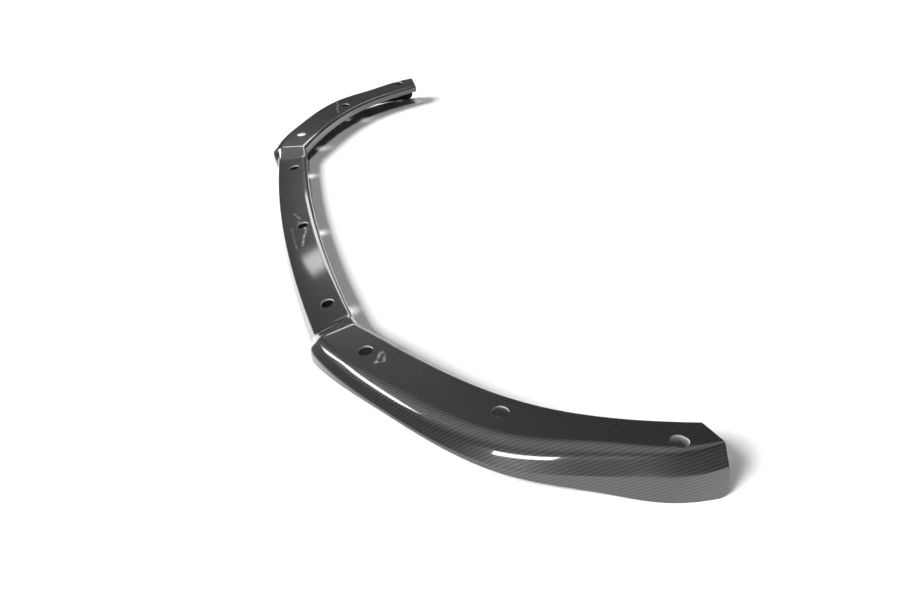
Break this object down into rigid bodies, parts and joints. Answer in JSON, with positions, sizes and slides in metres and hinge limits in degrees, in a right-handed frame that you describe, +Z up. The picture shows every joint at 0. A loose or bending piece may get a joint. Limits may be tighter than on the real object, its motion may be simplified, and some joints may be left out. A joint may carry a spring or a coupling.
{
  "type": "front splitter lip",
  "caption": "U-shaped front splitter lip in glossy twill carbon: a low centre bar stepping up to swept-back wings with deep rear ends and round fixing holes, for the underside of a car bumper.",
  "frame": {"origin": "on the floor under the middle of the lip's box, midway between its front edge and its rear tips", "axes": "+X to the rear of the car, +Y across the car, +Z up, as the lip lies on its front foot and the feet of its tips"},
  "size_m": [0.5019, 1.7066, 0.0758],
  "materials": {
    "carbon": "clear-coated twill carbon laminate, glossy"
  },
  "bodies": {
    "root": {"splitter_lip": "carbon"}
  },
  "joints": []
}
